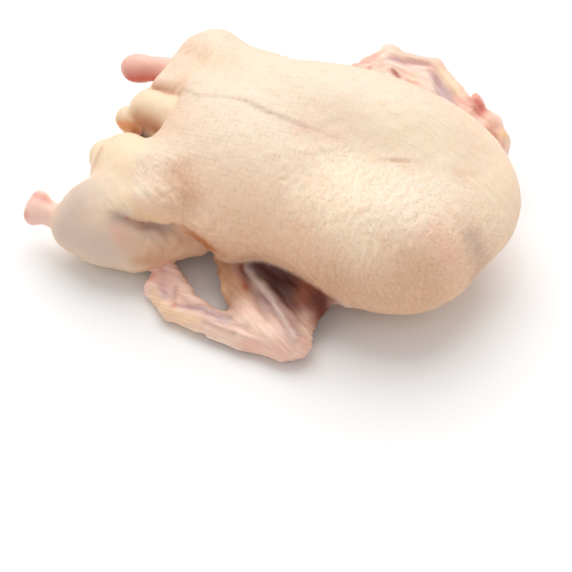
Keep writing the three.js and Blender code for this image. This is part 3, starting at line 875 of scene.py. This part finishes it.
def regions(points):
    """How far each point belongs to a wing, a hock, the skin of the body and its smooth folds."""
    skin = covered(points)
    wing = np.minimum(near_wing(points), far_wing(points))
    hocks = np.minimum(near_hock(points), far_hock(points))
    on_wing = belongs(wing, np.minimum(skin, hocks), softness=4)
    on_hock = belongs(hocks, skin, softness=3)
    folds = np.minimum(upper_fold(points), np.minimum(near_fold(points), tail(points)))
    smooth = belongs(folds, np.minimum(carcass(points), far_leg(points)), softness=8)
    return on_wing, on_hock, (1 - on_wing) * (1 - on_hock), smooth


def skin_colours(points, normals):
    """The colour of each point: the skin's own colours, with painted shade and painted highlights laid
    in.
    """
    on_wing, on_hock, on_skin, smooth = regions(points)
    base = np.tile(TOP_SKIN, (len(points), 1))
    # Painted shade: the skin turns darker and warmer the further its normal turns from straight up.
    base = lay_on(base, SHADED_SIDE_SKIN, np.interp(normals[:, 2], *SIDE_SHADE))
    base = lay_on(base, FAT, FAT_THICKNESS * smooth)
    for marks in (BREAST_MARKS, LEG_MARKS, VENT_MARKS):
        base = lay_marks(base, points, marks, on_skin)
    base = lay_on(base, WING_SKIN, on_wing)
    base = lay_marks(base, points + wobble(points), WING_MARKS, on_wing, near_line_from_above)
    base = lay_on(base, PALE_PINK, on_hock)
    return lay_marks(base, points, HOCK_MARKS, on_hock)


def details(points):
    """How strongly each kind of fine detail shows at each point."""
    on_wing, on_hock, on_skin, smooth = regions(points)
    along, round_body = girth_place(points)
    on_leg = belongs(near_drumstick(points), carcass(points), softness=20)
    pores = on_skin * (1 - smooth) * (1 - (1 - PORES_ON_LEG) * on_leg)
    on_lip = near(points, LIP_EDGE, width=14) * np.clip(above_line(points, LIP_EDGE) / LIP_START, 0, 1)
    crinkles = [CRINKLE_STRENGTH * near(points, places, width=17) for places in CRINKLED]
    wrinkled = np.maximum.reduce([near(points, WRINKLE_RUN, width=20), on_lip, *crinkles])
    return dict(
        dots=pores * np.interp(along, *DOTS_ALONG) * np.interp(round_body, *DOTS_ROUND),
        rows=pores * np.interp(along, *ROWS_ALONG),
        grooves=pores * np.interp(along, *GROOVES_ALONG) * np.interp(round_body, *GROOVES_ROUND),
        flesh=np.clip(on_wing + FLESH_ON_HOCK * on_hock, 0, 1),
        wrinkles=on_skin * wrinkled)


# ---- The mesh ----

def add_object(name, data):
    thing = bpy.data.objects.new(name, data)
    bpy.context.collection.objects.link(thing)
    return thing


def mesh_object(name, corners, faces):
    mesh = bpy.data.meshes.new(name)
    mesh.vertices.add(len(corners))
    mesh.vertices.foreach_set("co", np.ascontiguousarray(corners, np.float32).ravel())
    mesh.loops.add(faces.size)
    mesh.loops.foreach_set("vertex_index", np.ascontiguousarray(faces, np.int32).ravel())
    mesh.polygons.add(len(faces))
    mesh.polygons.foreach_set("loop_start", np.arange(0, faces.size, 4, dtype=np.int32))
    mesh.update(calc_edges=True)
    mesh.polygons.foreach_set("use_smooth", np.ones(len(faces), bool))
    return add_object(name, mesh)


def add_layer(piece, name, kind, field, values):
    layer = piece.data.attributes.new(name, kind, "POINT")
    layer.data.foreach_set(field, np.ascontiguousarray(values, np.float32).ravel())


def goose_mesh():
    """The bird's skin as one mesh, and how far it was moved to stand in the middle of the CAD box."""
    size = NET_SIZE
    corners, faces = lay_net(whole_bird, NET_LOW, NET_HIGH, size)
    corners = settle(whole_bird, corners, size)
    normals = unit(slope_at(whole_bird, corners))
    lifted = corners + relief(corners)[:, None] * normals
    cad_low, cad_high = (np.array(corner) for corner in cad_box)
    middle = (corners.min(0) + corners.max(0)) / 2
    shift = (cad_low + cad_high) / 2 - middle * MM
    shift[2] = 0
    piece = mesh_object("goose_skin", np.clip(lifted * MM + shift, cad_low, cad_high), faces)

    colours = skin_colours(corners, normals)
    add_layer(piece, "paint", "FLOAT_COLOR", "color", np.hstack([colours, np.ones((len(colours), 1))]))
    for name, values in details(corners).items():
        add_layer(piece, name, "FLOAT", "value", values)
    flat = np.zeros(len(corners))
    for name, place in (("unrolled", girth_place(corners)), ("fibres", fibre_place(corners))):
        add_layer(piece, name, "FLOAT_VECTOR", "vector", np.stack([*place, flat], 1))
    return piece, shift


# ---- Materials ----

ROSY = (1.0, 0.94, 0.9, 1)
PALER = (1.04, 1.05, 1.06, 1)
PORE = (0.64, 0.53, 0.42, 1)
FURROW = (0.9, 0.86, 0.8, 1)
WELT = (1.06, 1.09, 1.12, 1)
STREAK = (0.8, 0.66, 0.62, 1)
SINEW = (1.22, 1.28, 1.3, 1)
PIT_TINT = 0.55
BUMP_HIGHLIGHT = 0.8

# How far patterns stand out of the skin or into it, as shares of the bump's height in millimetres.
GRAIN_RISE = 0.35
BUMP_RISE = 0.7
PIT_DEPTH = 0.5
BUMP_HEIGHT = 0.5
BUMP_STRENGTH = 0.5
STREAKS_ON_WRINKLES = 0.8
GLOW_DEPTH = 4


# The Mix node's sockets for colours.
COLOUR_A = 6
COLOUR_B = 7
COLOUR_OUT = 2


class Paints:
    """A material's nodes, with one short call for each kind."""

    def __init__(self, name):
        self.material = bpy.data.materials.new(name)
        self.material.use_nodes = True
        self.tree = self.material.node_tree
        self.tree.nodes.clear()
        self.place = self.add("ShaderNodeTexCoord").outputs["Object"]

    def add(self, kind, inputs=None, **settings):
        node = self.tree.nodes.new(kind)
        for name, value in settings.items():
            setattr(node, name, value)
        for name, value in (inputs or {}).items():
            if isinstance(value, bpy.types.NodeSocket):
                self.tree.links.new(value, node.inputs[name])
            else:
                node.inputs[name].default_value = value
        return node

    def attribute(self, name, output):
        return self.add("ShaderNodeAttribute", attribute_name=name).outputs[output]

    def noise(self, size, detail=2.0, place=None):
        """Noise whose lumps are about so many millimetres across."""
        scale = 1 / size if place else 1 / (size * MM)
        inputs = {"Vector": place or self.place, "Scale": scale, "Detail": detail}
        return self.add("ShaderNodeTexNoise", inputs).outputs["Fac"]

    def drawn_out(self, place, along, across, detail=2.0):
        """Noise whose lumps are so many millimetres long and wide."""
        return self.noise(1, detail, self.vector("MULTIPLY", place, (1 / along, 1 / across, 1)))

    def pushed(self, place, size, distance):
        """Places pushed about by soft noise, so that rows laid on them waver."""
        noise = self.add("ShaderNodeTexNoise", {"Vector": place, "Scale": 1 / size, "Detail": 1.0})
        centred = self.vector("SUBTRACT", noise.outputs["Color"], (0.5, 0.5, 0.5))
        move = self.vector("MULTIPLY", centred, (distance * 2, distance * 2, 0))
        return self.vector("ADD", place, move)

    def cells(self, place, size, randomness):
        """Distance from the middle of flat cells, in cell sizes."""
        inputs = {"Vector": place, "Scale": 1 / size, "Randomness": randomness}
        node = self.add("ShaderNodeTexVoronoi", inputs, voronoi_dimensions="2D")
        return node.outputs["Distance"]

    def vector(self, operation, a, b):
        return self.add("ShaderNodeVectorMath", {0: a, 1: b}, operation=operation).outputs[0]

    def math(self, operation, a, b):
        return self.add("ShaderNodeMath", {0: a, 1: b}, operation=operation).outputs[0]

    def times(self, a, b):
        return self.math("MULTIPLY", a, b)

    def shown(self, value, starts, full, least=0.0, most=1.0):
        """How strongly a pattern shows: least until its value starts, most from where it is full."""
        limits = {"From Min": starts, "From Max": full, "To Min": least, "To Max": most}
        return self.add("ShaderNodeMapRange", {"Value": value, **limits}).outputs["Result"]

    def tinted(self, base, tint, share):
        """The base colour, multiplied by a tint as far as the share says."""
        inputs = {"Factor": share, COLOUR_A: base, COLOUR_B: tint}
        node = self.add("ShaderNodeMix", inputs, data_type="RGBA", blend_type="MULTIPLY")
        return node.outputs[COLOUR_OUT]

    def finish(self, shader):
        """The material, with its surface made by the shader."""
        self.add("ShaderNodeOutputMaterial", {"Surface": shader.outputs["BSDF"]})
        return self.material


def uneven_tone(paints, base):
    """Broad rosy patches and small pale ones."""
    rosy = paints.shown(paints.noise(size=24, detail=3), starts=0.35, full=0.65, most=0.25)
    pale = paints.shown(paints.noise(size=6, detail=3), starts=0.4, full=0.7, most=0.4)
    return paints.tinted(paints.tinted(base, ROSY, rosy), PALER, pale)


def streaked(paints, base, streaks, streaky):
    """Dark streaks and light sinews along the fibres."""
    dark = paints.times(paints.shown(streaks, starts=0.5, full=0.7, most=0.36), streaky)
    light = paints.times(paints.shown(streaks, starts=0.45, full=0.3, most=0.55), streaky)
    return paints.tinted(paints.tinted(base, STREAK, dark), SINEW, light)


def pore_pits(paints, place, dots):
    """Round pits that the feathers left, deeper in some spots than in others."""
    uneven = paints.shown(paints.noise(size=3.5, detail=1), starts=0.42, full=0.6)
    pits = paints.shown(paints.cells(place, size=4.0, randomness=0.9), starts=0.2, full=0.06)
    return paints.times(pits, paints.times(uneven, dots))


def fine_lines(paints, place, rows, dots, grooves):
    """Furrows between rows of pores, a finer crackle, and grooves along the body."""
    patchy = paints.shown(paints.noise(size=11, detail=2), starts=0.38, full=0.58, least=0.35)
    furrows = paints.cells(place, size=4.7, randomness=0.45)
    furrows = paints.shown(furrows, starts=0.36, full=0.66, most=0.75)
    furrows = paints.times(furrows, paints.times(patchy, rows))
    crackle = paints.cells(place, size=2.9, randomness=1)
    crackle = paints.shown(crackle, starts=0.35, full=0.75, most=0.8)
    crackle = paints.times(crackle, paints.times(patchy, dots))
    lengthwise = paints.drawn_out(place, along=16, across=2.2, detail=3)
    lengthwise = paints.times(paints.shown(lengthwise, starts=0.5, full=0.66, most=0.5), grooves)
    return paints.math("MAXIMUM", paints.math("MAXIMUM", furrows, crackle), lengthwise)


def skin_material():
    paints = Paints("goose_skin")
    base = paints.attribute("paint", "Color")
    place = paints.pushed(paints.attribute("unrolled", "Vector"), size=7, distance=1.6)
    fibres = paints.attribute("fibres", "Vector")
    rows, dots, flesh, wrinkles, grooves = (
        paints.attribute(name, "Fac") for name in ("rows", "dots", "flesh", "wrinkles", "grooves"))
    streaks = paints.drawn_out(fibres, along=20, across=2.4)
    streaky = paints.math("MAXIMUM", flesh, paints.times(wrinkles, STREAKS_ON_WRINKLES))
    pits = pore_pits(paints, place, dots)
    lines = fine_lines(paints, place, rows, dots, grooves)
    bumps = paints.shown(paints.cells(place, size=3.4, randomness=0.9), starts=0.6, full=0.1)
    bumps = paints.times(bumps, wrinkles)
    welts = paints.drawn_out(place, along=3, across=9)
    welts = paints.times(paints.shown(welts, starts=0.48, full=0.62, most=0.8), dots)

    base = streaked(paints, uneven_tone(paints, base), streaks, streaky)
    base = paints.tinted(base, PORE, paints.times(pits, PIT_TINT))
    base = paints.tinted(base, WELT, welts)
    base = paints.tinted(base, FURROW, lines)
    # Painted highlight: the raised bumps are lightened with the same pale tint as the welts.
    base = paints.tinted(base, WELT, paints.times(bumps, BUMP_HIGHLIGHT))

    height = paints.times(paints.noise(size=1.8, detail=3), GRAIN_RISE)
    for pattern in (paints.times(streaks, streaky), welts, paints.times(bumps, BUMP_RISE)):
        height = paints.math("ADD", height, pattern)
    for pattern in (paints.times(pits, PIT_DEPTH), lines):
        height = paints.math("SUBTRACT", height, pattern)
    bump = paints.add("ShaderNodeBump", {"Height": height, "Strength": BUMP_STRENGTH,
                                         "Distance": BUMP_HEIGHT * MM})
    gloss = paints.noise(size=12, detail=3)
    roughness = paints.shown(gloss, starts=0.3, full=0.7, least=0.42, most=0.56)
    shader = paints.add("ShaderNodeBsdfPrincipled", {
        "Base Color": base,
        "Roughness": roughness,
        "Specular IOR Level": 0.4,
        "Subsurface Weight": 0.25,
        "Subsurface Radius": (1.0, 0.45, 0.28),
        "Subsurface Scale": GLOW_DEPTH * MM,
        "Normal": bump.outputs["Normal"],
    }, subsurface_method="RANDOM_WALK")
    return paints.finish(shader)


def plain_material(name, base, roughness):
    paints = Paints(name)
    shader = paints.add("ShaderNodeBsdfPrincipled", {"Base Color": base, "Roughness": roughness})
    return paints.finish(shader)


# ---- Floor, lights and camera ----

# The floor is so many metres wide that no view sees its edge.
FLOOR_SIZE = 60
FLOOR_COLOUR = (0.92, 0.92, 0.92, 1)
FLOOR_ROUGHNESS = 0.9
SUN_FROM = (-0.2, 0.5, 0.85)
SUN_STRENGTH = 1.95
SUN_SPREAD = 60
SKY_COLOUR = (1, 1, 1, 1)
SKY_STRENGTH = 0.64

# The camera looks down on the bird from its near side, a little from the neck end.
VIEW_AZIMUTH = 18
VIEW_ELEVATION = 48
VIEW_DISTANCE = 1480
MM_PER_PIXEL = 0.85
VIEW_TARGET = (0, 0, 69)
TARGET_PIXEL = (325, 185)
PHOTO_WIDTH = 572
SENSOR_WIDTH = 36


def add_floor():
    bpy.ops.mesh.primitive_plane_add(size=FLOOR_SIZE)
    floor = bpy.context.object
    floor.name = "floor"
    floor.data.materials.append(plain_material("floor", FLOOR_COLOUR, FLOOR_ROUGHNESS))


def add_lights():
    lamp = bpy.data.lights.new("key", "SUN")
    lamp.energy = SUN_STRENGTH
    lamp.angle = math.radians(SUN_SPREAD)
    key = add_object("key", lamp)
    key.rotation_euler = (-Vector(SUN_FROM)).to_track_quat("-Z", "Y").to_euler()
    world = bpy.data.worlds.new("studio")
    world.use_nodes = True
    background = world.node_tree.nodes["Background"]
    background.inputs["Color"].default_value = SKY_COLOUR
    background.inputs["Strength"].default_value = SKY_STRENGTH
    bpy.context.scene.world = world
    bpy.context.scene.view_settings.view_transform = "Standard"


def add_camera(shift):
    azimuth, elevation = math.radians(VIEW_AZIMUTH), math.radians(VIEW_ELEVATION)
    back = Vector((math.sin(azimuth) * math.cos(elevation), -math.cos(azimuth) * math.cos(elevation),
                   math.sin(elevation)))
    right = Vector((math.cos(azimuth), math.sin(azimuth), 0))
    up = back.cross(right)
    across = (TARGET_PIXEL[0] - PHOTO_WIDTH / 2) * MM_PER_PIXEL
    down = (TARGET_PIXEL[1] - PHOTO_WIDTH / 2) * MM_PER_PIXEL
    eye = Vector(VIEW_TARGET) + back * VIEW_DISTANCE - right * across + up * down
    lens = bpy.data.cameras.new("camera")
    lens.sensor_width = SENSOR_WIDTH
    lens.lens = SENSOR_WIDTH * VIEW_DISTANCE / MM_PER_PIXEL / PHOTO_WIDTH
    camera = add_object("camera", lens)
    turn = Matrix((right, up, back)).transposed().to_4x4()
    camera.matrix_world = Matrix.Translation(eye * MM + Vector(shift)) @ turn
    bpy.context.scene.camera = camera


# ---- The scene ----

goose, table_shift = goose_mesh()
goose.data.materials.append(skin_material())
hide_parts("goose")
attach(goose, "root")
add_floor()
add_lights()
add_camera(table_shift)
